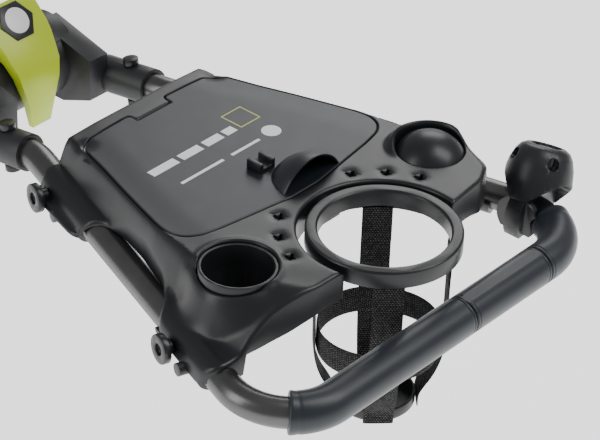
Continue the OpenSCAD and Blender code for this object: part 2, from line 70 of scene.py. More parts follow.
# ---------- Places ----------
# Console frame: millimetres from the centre of the drink ring, on the console's flat top.
HOOP_LOW, HOOP_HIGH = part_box("basket_hoop")
CONSOLE_TOP_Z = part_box("drink_ring")[1].z - 1.5 * MM
RING = Vector(((HOOP_LOW.x + HOOP_HIGH.x) / 2, (HOOP_LOW.y + HOOP_HIGH.y) / 2, CONSOLE_TOP_Z))
JOINTS = {j["name"]: j for j in frame["joints"]}
HUB = Vector(JOINTS["handle_fold"]["pos_m"])

TUBE_R = 12.7
GRIP_R = 17.1
GRIP_Y, GRIP_Z = 66.0, -64.2
FALL, FLARE = math.radians(3.6), math.radians(18.2)
BEND_X, BEND_R = 132.2, 51.0
ARM_U = BEND_X + BEND_R * math.cos(FLARE)
ARM_V = -BEND_R - BEND_R * math.sin(FLARE)
NECK_V = -388.0
NECK_U = ARM_U - (ARM_V - NECK_V) * math.tan(FLARE)
NECK_DIP = math.radians(9)
NECK_LEN = 62.0


def at(x, y, z=0.0):
    """A point of the console frame, in metres."""
    return RING + Vector((x, y, z)) * MM


def handle_point(u, v, w=0.0):
    """A point of the tilted handle plane, in the console frame."""
    c, s = math.cos(FALL), math.sin(FALL)
    return Vector((u, GRIP_Y + v * c + w * s, GRIP_Z - v * s + w * c))


def tube_x(y):
    """Where the handle's arm passes, sideways, at a distance y along the console."""
    v = (y - GRIP_Y) / math.cos(FALL)
    return ARM_U - (ARM_V - v) * math.tan(FLARE)


def tube_z(y):
    return GRIP_Z - (y - GRIP_Y) * math.tan(FALL)


# ---------- Materials ----------
def node_material(name):
    mat = bpy.data.materials.new(name)
    mat.use_nodes = True
    tree = mat.node_tree
    return mat, tree, tree.nodes["Principled BSDF"]


def link(tree, a, out, b, into):
    tree.links.new(a.outputs[out], b.inputs[into])


def noise(tree, scale, detail=4.0, rough=0.55, stretch=None):
    coord = tree.nodes.new("ShaderNodeTexCoord")
    tex = tree.nodes.new("ShaderNodeTexNoise")
    tex.inputs["Scale"].default_value = scale
    tex.inputs["Detail"].default_value = detail
    tex.inputs["Roughness"].default_value = rough
    if stretch is None:
        link(tree, coord, "Object", tex, "Vector")
    else:
        mapping = tree.nodes.new("ShaderNodeMapping")
        mapping.inputs["Scale"].default_value = stretch
        link(tree, coord, "Object", mapping, "Vector")
        link(tree, mapping, "Vector", tex, "Vector")
    return tex


def ramp(tree, source, out, low, high, a, b):
    node = tree.nodes.new("ShaderNodeValToRGB")
    node.color_ramp.elements[0].position = low
    node.color_ramp.elements[0].color = (*a, 1)
    node.color_ramp.elements[1].position = high
    node.color_ramp.elements[1].color = (*b, 1)
    link(tree, source, out, node, "Fac")
    return node


def spread(tree, source, out, low, high):
    node = tree.nodes.new("ShaderNodeMapRange")
    node.inputs["To Min"].default_value = low
    node.inputs["To Max"].default_value = high
    link(tree, source, out, node, "Value")
    return node


def bump(tree, shader, source, out, strength, distance):
    node = tree.nodes.new("ShaderNodeBump")
    node.inputs["Strength"].default_value = strength
    node.inputs["Distance"].default_value = distance
    link(tree, source, out, node, "Height")
    link(tree, node, "Normal", shader, "Normal")
    return node


def plastic(name, dark, light, rough=(0.34, 0.46), grain=1400, strength=0.05, sheen=0.0, specular=0.5):
    """Moulded plastic: a fine grain, with slow changes of colour and gloss."""
    mat, tree, shader = node_material(name)
    slow = noise(tree, 14, 3)
    colour = ramp(tree, slow, "Fac", 0.3, 0.7, dark, light)
    link(tree, colour, "Color", shader, "Base Color")
    gloss = spread(tree, noise(tree, 60, 5), "Fac", *rough)
    link(tree, gloss, "Result", shader, "Roughness")
    bump(tree, shader, noise(tree, grain, 2), "Fac", strength, 0.0002)
    shader.inputs["Specular IOR Level"].default_value = specular
    shader.inputs["Sheen Weight"].default_value = sheen
    return mat


def anodised(name, dark, light, rough, metallic=0.9, streak=(6, 6, 900)):
    """Drawn or anodised metal with fine scratches along it."""
    mat, tree, shader = node_material(name)
    shader.inputs["Metallic"].default_value = metallic
    slow = noise(tree, 25, 4)
    colour = ramp(tree, slow, "Fac", 0.3, 0.7, dark, light)
    link(tree, colour, "Color", shader, "Base Color")
    lines = noise(tree, 1.0, 3, 0.6, streak)
    gloss = spread(tree, lines, "Fac", *rough)
    link(tree, gloss, "Result", shader, "Roughness")
    bump(tree, shader, noise(tree, 2200, 2), "Fac", 0.04, 0.0001)
    return mat


def webbing_material(name):
    """Woven webbing: rows of small raised stitches, from the piece's own UV map, with painted highlight on the
    stitches.
    """
    mat, tree, shader = node_material(name)
    uv = tree.nodes.new("ShaderNodeUVMap")
    uv.uv_map = "weave"
    brick = tree.nodes.new("ShaderNodeTexBrick")
    brick.offset = 0.5
    brick.inputs["Scale"].default_value = 1.0
    brick.inputs["Mortar Size"].default_value = 0.24
    brick.inputs["Mortar Smooth"].default_value = 0.7
    brick.inputs["Brick Width"].default_value = 1.0
    brick.inputs["Row Height"].default_value = 0.8
    # Painted highlight: the stitches are coloured lighter grey than the near-black webbing in the gaps between them,
    # standing in for glints on the weave's crests; their greys also vary stitch by stitch.
    brick.inputs["Color1"].default_value = (0.115, 0.115, 0.118, 1)
    brick.inputs["Color2"].default_value = (0.045, 0.045, 0.047, 1)
    brick.inputs["Mortar"].default_value = (0.0015, 0.0015, 0.0015, 1)
    link(tree, uv, "UV", brick, "Vector")
    link(tree, brick, "Color", shader, "Base Color")
    shader.inputs["Roughness"].default_value = 0.8
    shader.inputs["Specular IOR Level"].default_value = 0.2
    invert = tree.nodes.new("ShaderNodeInvert")
    link(tree, brick, "Fac", invert, "Color")
    bump(tree, shader, invert, "Color", 0.9, 0.0006)
    return mat


MAT = {
    "console": plastic("console_plastic", (0.007, 0.008, 0.010), (0.010, 0.011, 0.013), (0.32, 0.39)),
    "lid": plastic("lid_plastic", (0.008, 0.011, 0.015), (0.011, 0.015, 0.020), (0.36, 0.43)),
    "black": plastic("black_plastic", (0.009, 0.010, 0.012), (0.014, 0.015, 0.017), (0.33, 0.43)),
    "hub": plastic("hub_plastic", (0.013, 0.0135, 0.016), (0.019, 0.0195, 0.023), (0.38, 0.48)),
    "grip": plastic("grip_rubber", (0.011, 0.016, 0.023), (0.015, 0.021, 0.029), (0.34, 0.44), 900, 0.08, 0.1),
    "lime": plastic("lime_plastic", (0.48, 0.62, 0.012), (0.54, 0.68, 0.022), (0.30, 0.38), 1400, 0.03),
    "white": plastic("white_plastic", (0.80, 0.80, 0.80), (0.88, 0.88, 0.87), (0.30, 0.40), 1400, 0.02),
    "grey": plastic("grey_plastic", (0.30, 0.31, 0.32), (0.40, 0.41, 0.42), (0.30, 0.45)),
    "mark": plastic("print_green", (0.50, 0.52, 0.12), (0.56, 0.58, 0.15), (0.35, 0.45), 1400, 0.02),
    "tyre": plastic("tyre_rubber", (0.012, 0.012, 0.012), (0.022, 0.022, 0.022), (0.62, 0.80), 700, 0.25),
    "rim": plastic("rim_plastic", (0.028, 0.030, 0.033), (0.038, 0.040, 0.044), (0.38, 0.50)),
    "cable": plastic("cable_rubber", (0.010, 0.010, 0.010), (0.016, 0.016, 0.016), (0.45, 0.55)),
    "tube": anodised("graphite_tube", (0.11, 0.11, 0.11), (0.15, 0.15, 0.148), (0.24, 0.36)),
    "steel": anodised("zinc_steel", (0.50, 0.50, 0.49), (0.62, 0.62, 0.60), (0.25, 0.40)),
    "screw": anodised("dark_screw", (0.030, 0.031, 0.034), (0.05, 0.05, 0.053), (0.25, 0.38), 0.6),
    "webbing": webbing_material("woven_webbing"),
}
SLOT_MATERIAL = {"graphite_tube": "tube", "steel": "steel", "grip_rubber": "grip", "console_plastic": "console",
                 "black_plastic": "black", "lime_plastic": "lime", "white_plastic": "white", "grey_plastic": "grey",
                 "webbing": "webbing", "tyre": "tyre", "rim_plastic": "rim", "dark_screw": "screw",
                 "cable_rubber": "cable"}
NODE_SLOT = {s["node"]: s["material_slot"] for s in frame["record"]["subparts"]}


# ---------- Mesh helpers ----------
def add_mesh(name, verts, faces, mat, smooth=True):
    mesh = bpy.data.meshes.new(name)
    mesh.from_pydata([tuple(v) for v in verts], [], faces)
    mesh.validate()
    obj = bpy.data.objects.new(name, mesh)
    bpy.context.scene.collection.objects.link(obj)
    mesh.materials.append(MAT[mat])
    tidy_normals(mesh)
    for p in mesh.polygons:
        p.use_smooth = smooth
    return obj


def tidy_normals(mesh):
    bm = bmesh.new()
    bm.from_mesh(mesh)
    bmesh.ops.remove_doubles(bm, verts=bm.verts, dist=1e-6)
    bmesh.ops.recalc_face_normals(bm, faces=bm.faces)
    bm.to_mesh(mesh)
    bm.free()


def sharpen(obj, degrees=35):
    """Smooth shading that keeps real corners crisp."""
    for p in obj.data.polygons:
        p.use_smooth = True
    obj.data.set_sharp_from_angle(angle=math.radians(degrees))


def apply_modifiers(obj):
    bpy.context.view_layer.update()
    graph = bpy.context.evaluated_depsgraph_get()
    baked = bpy.data.meshes.new_from_object(obj.evaluated_get(graph))
    obj.modifiers.clear()
    obj.data = baked


def bevel(obj, width, segments=2, degrees=32):
    mod = obj.modifiers.new("bevel", "BEVEL")
    mod.width = width * MM
    mod.segments = segments
    mod.limit_method = "ANGLE"
    mod.angle_limit = math.radians(degrees)
    mod.harden_normals = False
    mod.use_clamp_overlap = True
    apply_modifiers(obj)


def place(obj, body, nodes=(), slot=None):
    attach(obj, body)
    if nodes:
        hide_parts(*nodes)
        slot = slot or NODE_SLOT[nodes[0]]
    return obj


def eased(start, corner, end, steps):
    """Points of the curve that leaves start, bends at the corner and reaches end."""
    return [start.lerp(corner, k / steps).lerp(corner.lerp(end, k / steps), k / steps) for k in range(steps + 1)]


def sweep(name, path, radius, mat, sides=48, caps=True, side_vector=None):
    """A tube along a path in metres; radius is a number in mm or a function of (length so far in mm, angle)."""
    pts = [Vector(p) for p in path]
    along = [0.0]
    for a, b in zip(pts, pts[1:]):
        along.append(along[-1] + (b - a).length / MM)
    verts, faces = [], []
    up = Vector(side_vector or (0, 0, 1))
    for i, p in enumerate(pts):
        t = (pts[min(i + 1, len(pts) - 1)] - pts[max(i - 1, 0)]).normalized()
        side = t.cross(up).normalized()
        top = side.cross(t).normalized()
        for k in range(sides):
            a = 2 * math.pi * k / sides
            r = radius(along[i], a) if callable(radius) else radius
            verts.append(p + (side * math.cos(a) + top * math.sin(a)) * r * MM)
    for i in range(len(pts) - 1):
        for k in range(sides):
            m = (k + 1) % sides
            faces.append((i * sides + k, i * sides + m, (i + 1) * sides + m, (i + 1) * sides + k))
    if caps:
        faces.append(tuple(range(sides))[::-1])
        faces.append(tuple((len(pts) - 1) * sides + k for k in range(sides)))
    obj = add_mesh(name, verts, faces, mat)
    sharpen(obj, 40)
    return obj


def refined(node, width=0.7, mat=None, dissolve=True):
    """A CAD node's own shape with its edges eased, standing for that node."""
    source = frame["nodes"][node]
    mesh = source.data.copy()
    obj = bpy.data.objects.new(node + "_shape", mesh)
    bpy.context.scene.collection.objects.link(obj)
    bm = bmesh.new()
    bm.from_mesh(mesh)
    bmesh.ops.remove_doubles(bm, verts=bm.verts, dist=2e-6)
    if dissolve:
        bmesh.ops.dissolve_limit(bm, angle_limit=math.radians(0.6), verts=bm.verts, edges=bm.edges)
    bmesh.ops.recalc_face_normals(bm, faces=bm.faces)
    bm.to_mesh(mesh)
    bm.free()
    mesh.materials.clear()
    mesh.materials.append(MAT[mat or SLOT_MATERIAL[NODE_SLOT[node]]])
    if width:
        bevel(obj, width)
    sharpen(obj)
    return place(obj, source["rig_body"], [node])


# ---------- Console ----------
SADDLE_R = TUBE_R + 5.0
SHELL_HALF = [(78, -279), (94, -288), (113, -284), (122, -255), (130, -224), (126, -212), (116, -200), (117, -176),
              (125, -146), (138, -112), (152, -96), (168, -88), (173, -80), (183, -50), (192, -22), (186, -8),
              (170, -5), (150, -3.5), (134, 0), (118, 7), (98, 13), (66.5, 15)]
LID_HALF = [(20.9, -254), (20.9, -264.6), (70, -263), (80, -258), (85, -248), (93, -221), (104, -189),
            (114, -157), (121, -134), (123, -121), (119, -108), (108, -99.5), (90, -95), (50, -89), (16, -84)]
# The right-hand near corner stops short of the umbrella holder
RIGHT_CORNER = [(173, -80), (181, -56), (186, -38), (174, -31), (158, -30), (146, -24), (141, -6), (112, 10),
                (76, 15), (66.5, 15)]
OPEN_GAP = 0.9
CUP_AT = (118, -50)
CUP_R = 29.0
TEES = [(44, -73), (66, -53.5), (80, -29)]
NOTCH_R = 70.0


def smooth(t):
    t = np.clip(t, 0, 1)
    return t * t * (3 - 2 * t)


# Where the flat top starts to fall away, for places along the console
FALL_Y = (-290, -258, -248, -221, -189, -157, -134, -118, -95, -70, -50, -20, 16)
FALL_X = (74, 83, 86, 94, 105, 115, 122, 125, 130, 134, 132, 116, 96)
VALLEY = 2.2
# The lid's far corners dip, with the shell round them, so that they can swing past its edge
CORNER_AT, CORNER_R, CORNER_DIP = (79, -259), 13, 2.7


def fall_start(y):
    return np.interp(y, FALL_Y, FALL_X)


def arm_x(y):
    return ARM_U - (ARM_V - (y - GRIP_Y) / math.cos(FALL)) * math.tan(FLARE)


def crown(x, y):
    """Height of the console's moulded top: flat in the middle, falling through a valley to collars over the tubes."""
    right = np.asarray(x, float) < 0
    x, y = np.abs(np.asarray(x, float)), np.asarray(y, float)
    axis = arm_x(y)
    crest = GRIP_Z - (y - GRIP_Y) * math.tan(FALL) + SADDLE_R
    start = np.minimum(fall_start(y) + 20 * right * smooth((y + 95) / 45), axis - 9)
    u = np.clip((x - start) / (axis - start), 0, 1)
    top = crest * smooth(u) - VALLEY * np.exp(-((u - 0.78) / 0.1) ** 2) - 1.0 * smooth((x - start + 34) / 34)
    top = top - CORNER_DIP * smooth(1 - np.hypot(x - CORNER_AT[0], y - CORNER_AT[1]) / CORNER_R)
    side = np.clip((x - axis) / SADDLE_R, 0, 0.9995)
    return np.where(x < axis, top, crest - 1.0 - SADDLE_R + SADDLE_R * np.sqrt(1 - side ** 2))


def slope_points():
    """Extra points where the skin falls away and turns over the tube."""
    out = []
    for y in np.arange(-284, 14, 2.6):
        axis = float(arm_x(y))
        start = min(float(fall_start(y)), axis - 9)
        steps = max(8, round((axis - start) / 1.6))
        row = [start + (axis - start) * (k + 0.5) / steps for k in range(steps)]
        row += [axis + SADDLE_R * math.sin(math.radians(a)) for a in range(6, 84, 8)]
        out += [(s * x, y) for x in row for s in (1, -1)]
    rings = [(t, (4.9, 5.8, 6.7, 7.6, 8.7, 10.0), 28) for t in TEES]
    rings.append((CUP_AT, [CUP_R + 4.5 + 1.5 * k for k in range(11)], 110))
    for (cx, cy), radii, count in rings:
        clear = radii[-1] + 1.2
        out = [p for p in out if math.hypot(abs(p[0]) - cx, p[1] - cy) > clear]
        out += [(s * (cx + r * math.cos(a)), cy + r * math.sin(a))
                for r in radii for a in np.linspace(0, 2 * math.pi, count, endpoint=False) for s in (1, -1)]
    return out


def densify(points, step):
    out = []
    for i, p in enumerate(points):
        a, b = Vector(p[:2]), Vector(points[(i + 1) % len(points)][:2])
        n = max(1, round((b - a).length / step))
        out += [a.lerp(b, k / n) for k in range(n)]
    return out


def circle(cx, cy, r, n=96):
    turns = [2 * math.pi * i / n for i in range(n)]
    return [Vector((cx + r * math.cos(a), cy + r * math.sin(a))) for a in turns]


def edge_distance(points, loops):
    """Distance of each point to the nearest side of any loop."""
    best = np.full(len(points), 1e9)
    for loop in loops:
        a = np.array([[p[0], p[1]] for p in loop])
        b = np.roll(a, -1, axis=0)
        d = b - a
        len2 = np.maximum((d ** 2).sum(1), 1e-12)
        for i in range(len(a)):
            t = np.clip(((points - a[i]) @ d[i]) / len2[i], 0, 1)
            near = a[i] + t[:, None] * d[i]
            best = np.minimum(best, np.hypot(*(points - near).T))
    return best


def inside(points, loop):
    """Which points lie inside a closed loop."""
    x, y = points[:, 0], points[:, 1]
    hit = np.zeros(len(points), bool)
    n = len(loop)
    for i in range(n):
        x0, y0 = loop[i][0], loop[i][1]
        x1, y1 = loop[(i + 1) % n][0], loop[(i + 1) % n][1]
        if y0 == y1:
            continue
        cross = (y0 > y) != (y1 > y)
        hit ^= cross & (x < (x1 - x0) * (y - y0) / (y1 - y0) + x0)
    return hit


def sheet_mesh(outer, holes, step, extra=(), edges=(0.5, 1.2, 2.2, 3.4)):
    """A fine flat triangulation of an outline with holes, closer together along every edge."""
    loops = [outer] + holes
    verts = [Vector((p[0], p[1])) for loop in loops for p in loop]
    segs, base = [], 0
    for loop in loops:
        n = len(loop)
        segs += [(base + i, base + (i + 1) % n) for i in range(n)]
        base += n
    xs, ys = [p[0] for p in outer], [p[1] for p in outer]
    grid = np.array([(x, y) for x in np.arange(min(xs) + step / 2, max(xs), step)
                     for y in np.arange(min(ys) + step / 2, max(ys), step)])
    if len(extra):
        grid = grid[np.abs(grid[:, 0]) < np.minimum(fall_start(grid[:, 1]), arm_x(grid[:, 1]) - 9)]
        finder = KDTree(len(extra))
        for i, p in enumerate(extra):
            finder.insert((p[0], p[1], 0), i)
        finder.balance()
        grid = np.array([p for p in grid if finder.find((p[0], p[1], 0))[2] > 1.5])
        grid = np.vstack([grid, np.array(extra)])
    keep = inside(grid, outer)
    for h in holes:
        keep &= ~inside(grid, h)
    grid = grid[keep]
    grid = grid[edge_distance(grid, loops) > edges[-1] + 0.9]
    rows = []
    for loop, sign in [(outer, 1)] + [(h, -1) for h in holes]:
        area = sum(loop[i - 1][0] * loop[i][1] - loop[i][0] * loop[i - 1][1] for i in range(len(loop)))
        turn = sign * (1 if area > 0 else -1)
        n = len(loop)
        for e in edges:
            for i in range(n):
                t = (Vector(loop[(i + 1) % n][:2]) - Vector(loop[i - 1][:2])).normalized()
                rows.append((loop[i][0] - t.y * e * turn, loop[i][1] + t.x * e * turn, e))
    ring = np.array(rows)
    far = edge_distance(ring[:, :2], loops)
    ring = ring[(np.abs(far - ring[:, 2]) < 0.12)]
    ok = inside(ring[:, :2], outer)
    for h in holes:
        ok &= ~inside(ring[:, :2], h)
    verts += [Vector(p) for p in grid] + [Vector(p[:2]) for p in ring[ok]]
    out = geometry.delaunay_2d_cdt(verts, segs, [], 0, 1e-4)
    pts = np.array([(p.x, p.y) for p in out[0]])
    tris = []
    centres = np.array([pts[list(f)].mean(0) for f in out[2]])
    good = inside(centres, outer)
    for h in holes:
        good &= ~inside(centres, h)
    for f, g in zip(out[2], good):
        if g:
            tris.append(tuple(f))
    return pts, tris


def boundary_loops(faces):
    """Directed boundary edges of a triangle list."""
    seen = {}
    for f in faces:
        for i in range(len(f)):
            seen[(f[i], f[(i + 1) % len(f)])] = True
    return [e for e in seen if (e[1], e[0]) not in seen]


def shell_piece(name, outer, holes, height, wall, fillet, mat, step=3.0, hole_fillet=None, extra=()):
    """A moulded skin: its top follows height(x, y), its edges are rounded over, and walls drop from every edge.

    wall(x, y, hole index or -1) is how low the wall goes there."""
    pts, tris = sheet_mesh(outer, holes, step, extra)
    loops = [outer] + holes
    z = height(pts[:, 0], pts[:, 1])
    for k, loop in enumerate(loops):
        r = fillet if k == 0 else (hole_fillet or fillet)
        d = np.clip(edge_distance(pts, [loop]), 0, r)
        z = z - (r - np.sqrt(np.maximum(r * r - (r - d) ** 2, 0)))
    verts = [at(p[0], p[1], h) for p, h in zip(pts, z)]
    faces = list(tris)
    edges = boundary_loops(tris)
    owner = {}
    border = sorted({i for e in edges for i in e})
    bp = pts[border]
    dist = np.array([edge_distance(bp, [loop]) for loop in loops])
    for i, k in zip(border, dist.argmin(0)):
        owner[i] = int(k) - 1
    lower = {}
    for i in border:
        x, y = pts[i]
        lower[i] = len(verts)
        bottom = min(wall(x, y, owner[i]), z[i] - 0.4)
        verts.append(at(x, y, bottom))
    for a, b in edges:
        faces.append((b, a, lower[a], lower[b]))
    obj = add_mesh(name, verts, faces, mat)
    sharpen(obj, 50)
    return obj


def notch_outline():
    """The console's outline with the round cut-out for the drink ring."""
    half = rounded_open(SHELL_HALF, 7)
    a0 = math.degrees(math.atan2(15.5, math.sqrt(NOTCH_R ** 2 - 15.5 ** 2)))
    cut = [Vector((NOTCH_R * math.cos(math.radians(a)), -0.5 + NOTCH_R * math.sin(math.radians(a))))
           for a in np.linspace(a0, -180 - a0, 90)]
    corner = rounded_open(SHELL_HALF[:-8] + RIGHT_CORNER, 6)
    left = [Vector((-p.x, p.y)) for p in reversed(corner)]
    return densify(half + cut + left, 3.0)


def rounded_open(points, radius, steps=5):
    """An open outline with its inner corners rounded."""
    out = [Vector(points[0])]
    for i in range(1, len(points) - 1):
        p = Vector(points[i])
        a, b = Vector(points[i - 1]) - p, Vector(points[i + 1]) - p
        reach = min(radius, a.length * 0.48, b.length * 0.48)
        out += eased(p + a.normalized() * reach, p, p + b.normalized() * reach, steps)
    out.append(Vector(points[-1]))
    return out


def outset(loop, d):
    """A closed counter-clockwise or clockwise loop moved outwards by d."""
    area = sum(loop[i - 1][0] * loop[i][1] - loop[i][0] * loop[i - 1][1] for i in range(len(loop)))
    turn = 1 if area > 0 else -1
    out = []
    n = len(loop)
    for i in range(n):
        t = (Vector(loop[(i + 1) % n][:2]) - Vector(loop[i - 1][:2])).normalized()
        out.append(Vector((loop[i][0] + t.y * d * turn, loop[i][1] - t.x * d * turn)))
    return out


def lid_outline():
    half = rounded_open(LID_HALF, 6)
    whole = half + [Vector((-p.x, p.y)) for p in reversed(half)]
    return densify(whole, 2.5)


COWL_H = 9.0
HINGE = (-258, -4)
BARREL_R = 3.8
TONGUE_HALF = 20.6
DISH_R, DISH_DEPTH = 6.8, 1.6


def cowl(x, y):
    """Raised hood round the back and outer side of the ball dome."""
    cx, cy = -CUP_AT[0], CUP_AT[1]
    dx, dy = x - cx, y - cy
    r = np.hypot(dx, dy)
    back = np.clip((-dy * 0.86 - dx * 0.5) / np.maximum(r, 1e-6) * 0.5 + 0.5, 0, 1)
    ridge = np.exp(-((r - 32.0) / 3.8) ** 2)
    return COWL_H * ridge * smooth((back - 0.38) / 0.45)


def cup_rim(x, y):
    r = np.hypot(x - CUP_AT[0], y - CUP_AT[1])
    return 1.2 * np.exp(-((r - CUP_R - 5.5) / 3.0) ** 2)


def console_height(x, y):
    x, y = np.asarray(x, float), np.asarray(y, float)
    z = crown(x, y)
    for cx in (CUP_AT[0], -CUP_AT[0]):
        near = smooth((CUP_R + 21 - np.hypot(x - cx, y - CUP_AT[1])) / 18)
        z = z * (1 - near) + near * np.maximum(z, -1.2 - 0.17 * np.maximum(np.abs(x) - 104, 0))
    z = z + cowl(x, y) + cup_rim(x, y)
    for tx, ty in TEES:
        for s in (1, -1):
            r = np.hypot(x - s * tx, y - ty)
            z = z - DISH_DEPTH * np.exp(-(r / DISH_R) ** 2.6)
    # The hinge tongue is rounded about the hinge, so that the lid's edge swings past it
    ahead = y - HINGE[0]
    barrel = HINGE[1] + np.sqrt(np.maximum(BARREL_R ** 2 - np.maximum(ahead, 0) ** 2, 0))
    barrel = np.where(ahead < 0, -0.2 * smooth((ahead + 4) / 4), barrel)
    return np.where((np.abs(x) < TONGUE_HALF) & (ahead > -4) & (ahead < 5), np.minimum(z, barrel), z)


def console_wall(x, y, hole):
    if hole >= 0:
        return -9.0 if hole == 0 else -20.0
    if math.hypot(x, y + 0.5) < NOTCH_R + 1.5:
        return -26.0
    near_tube = abs(abs(x) - tube_x(y)) < SADDLE_R + 4 and (y < -214 or -90 < y < -4)
    return tube_z(y) - 1.0 if near_tube else -27.0 - 16 * float(smooth((abs(x) - 84) / 66))


def tee_hole(cx, cy):
    """A small cross-shaped hole."""
    a, b = 4.6, 1.3
    pts = [(a, b), (b, b), (b, a), (-b, a), (-b, b), (-a, b),
           (-a, -b), (-b, -b), (-b, -a), (b, -a), (b, -b), (a, -b)]
    turn = math.radians(20)
    return [Vector((cx + x * math.cos(turn) - y * math.sin(turn), cy + x * math.sin(turn) + y * math.cos(turn)))
            for x, y in pts]


def build_console():
    lid_loop = lid_outline()
    holes = [outset(lid_loop, OPEN_GAP), circle(*CUP_AT, CUP_R + 3.4), circle(-CUP_AT[0], CUP_AT[1], CUP_R + 0.5)]
    for tx, ty in TEES:
        holes += [tee_hole(s * tx, ty) for s in (1, -1)]
    top = shell_piece("console_top_shell", notch_outline(), holes, console_height, console_wall, 3.2, "console",
                      hole_fillet=1.0, extra=slope_points())
    thick = top.modifiers.new("wall", "SOLIDIFY")
    thick.thickness = 1.6 * MM
    thick.offset = -1
    apply_modifiers(top)
    sharpen(top, 50)
    place(top, "handle", ["console_top"])
    lid = shell_piece("lid_panel", lid_loop, [], lambda x, y: crown(x, y) - 0.15,
                      lambda x, y, k: float(crown(x, y)) - 3,
                      1.1, "lid")
    thick = lid.modifiers.new("wall", "SOLIDIFY")
    thick.thickness = 1.2 * MM
    thick.offset = -1
    apply_modifiers(lid)
    sharpen(lid, 50)
    place(lid, "lid", ["lid"])


HOOD_AT = (-15, -90, -18)
HOOD_R = 38.0
HOOD_WALL = 1.6


def build_hood():
    """Half-dome finger hood on the lid, open towards the user, with an eased bright rim."""
    cx, cy, cz = HOOD_AT
    base = -0.6
    rings, around = 20, 48
    verts, faces = [], []
    for r in (HOOD_R, HOOD_R - HOOD_WALL):
        for i in range(rings + 1):
            t = math.acos(min(1, (base - cz) / r)) * i / rings
            for k in range(around + 1):
                a = math.radians(180 + 180 * k / around)
                verts.append(at(cx + r * math.sin(t) * math.cos(a), cy + r * math.sin(t) * math.sin(a),
                                cz + r * math.cos(t)))
    n = around + 1
    half = (rings + 1) * n
    for i in range(rings):
        for k in range(around):
            a = i * n + k
            faces.append((a, a + 1, a + n + 1, a + n))
            faces.append((half + a, half + a + n, half + a + n + 1, half + a + 1))
        for k in (0, around):
            a = i * n + k
            faces.append((a, a + n, half + a + n, half + a))
    for k in range(around):
        a = rings * n + k
        faces.append((a, a + 1, half + a + 1, half + a))
    hood = add_mesh("lid_finger_hood", verts, faces, "lid")
    bevel(hood, 0.5, 2, 50)
    sharpen(hood, 40)
    place(hood, "lid", slot="console_plastic")


def flat_mark(name, outline, height, mat, hole=None):
    """A thin printed patch lying on the lid."""
    loops = [outline] + ([hole] if hole else [])
    verts = [Vector(p[:2]) for loop in loops for p in loop]
    segs, base = [], 0
    for loop in loops:
        segs += [(base + i, base + (i + 1) % len(loop)) for i in range(len(loop))]
        base += len(loop)
    out = geometry.delaunay_2d_cdt(verts, segs, [], 0, 1e-4)
    centres = np.array([np.mean([out[0][i] for i in f], axis=0) for f in out[2]])
    keep = inside(centres, outline)
    if hole:
        keep &= ~inside(centres, hole)
    tris = [tuple(f) for f, k in zip(out[2], keep) if k]
    n = len(out[0])
    top = [at(p.x, p.y, height) for p in out[0]]
    low = [at(p.x, p.y, height - 0.2) for p in out[0]]
    faces = tris + [tuple(i + n for i in reversed(f)) for f in tris]
    faces += [(b, a, a + n, b + n) for a, b in boundary_loops(tris)]
    obj = add_mesh(name, top + low, faces, mat, smooth=False)
    place(obj, "lid", slot="white_plastic")
    return obj


def slanted(cx, cy, w, h, turn=0.0):
    """A rectangle of width w along X and height h along Y about (cx, cy), turned by some degrees."""
    c, s = math.cos(math.radians(turn)), math.sin(math.radians(turn))
    return [Vector((cx + x * c - y * s, cy + x * s + y * c))
            for x, y in ((-w / 2, -h / 2), (w / 2, -h / 2), (w / 2, h / 2), (-w / 2, h / 2))]


def build_marks():
    """Plain printed bars, a framed panel and a disc where the lid carries its printing."""
    level = -0.15 + 0.12
    k = 0
    for cx, w in ((58, 30), (26, 24), (-1, 20), (-21, 12)):
        k += 1
        flat_mark("lid_print_bar_%d" % k, slanted(cx, -188, w, 9.0), level, "white")
    for cx, w in ((40, 50), (-12, 34)):
        k += 1
        flat_mark("lid_print_bar_%d" % k, slanted(cx, -161, w, 3.0), level, "white")
    outer = slanted(-44, -196, 24, 24)
    inner = slanted(-44, -196, 21.6, 21.6)
    flat_mark("lid_print_frame", outer, level, "mark", inner)
    flat_mark("lid_print_disc", circle(-46, -163, 8.5, 48), level, "white")


build_console()
build_hood()
build_marks()


# ---------- Handle tube and grips ----------
def handle_centreline():
    """Centre of the bent handle tube, in the console frame, from one neck round to the other."""
    neck, arm = handle_point(NECK_U, NECK_V), handle_point(ARM_U, ARM_V)
    end = neck + Vector((0, -math.cos(NECK_DIP), -math.sin(NECK_DIP))) * NECK_LEN
    a, b = neck + (end - neck).normalized() * 14, neck + (arm - neck).normalized() * 14
    corner = eased(a, neck, b, 8)
    bend = [handle_point(BEND_X + BEND_R * math.cos(t), -BEND_R + BEND_R * math.sin(t))
            for t in np.linspace(-FLARE, math.pi / 2, 44)]
    half = [end] + corner + bend
    return half + [Vector((-p.x, p.y, p.z)) for p in reversed(half)]


def build_handle():
    tube = sweep("handle_tube_bent", [at(*p) for p in handle_centreline()], TUBE_R, "tube", 64)
    place(tube, "handle", ["handle_tube"])


SEAM_INNER, SEAM_OUTER = -23.0, -121.0
SEAM_HALF = 0.4


def grip_path(x0, x1, bend_side=0, bend_to=90):
    """Centre of a grip piece along the bar from x0 to x1 and on round a bend, with close points at its ends."""
    pts = [(x, 0.0) for x in np.linspace(x0, x1, 40)]
    if bend_side:
        turns = [math.radians(a) for a in np.linspace(90, bend_to, 36)[1:]]
        pts += [(bend_side * (BEND_X + BEND_R * math.cos(a)), BEND_R * (math.sin(a) - 1)) for a in turns]
    dense = []
    for i, (a, b) in enumerate(zip(pts, pts[1:])):
        cuts = 8 if i < 2 or i >= len(pts) - 4 else 1
        dense += [(a[0] + (b[0] - a[0]) * k / cuts, a[1] + (b[1] - a[1]) * k / cuts) for k in range(cuts)]
    dense.append(pts[-1])
    return [at(*handle_point(u, v)) for u, v in dense]


def path_length(path):
    return sum((b - a).length for a, b in zip(path, path[1:])) / MM


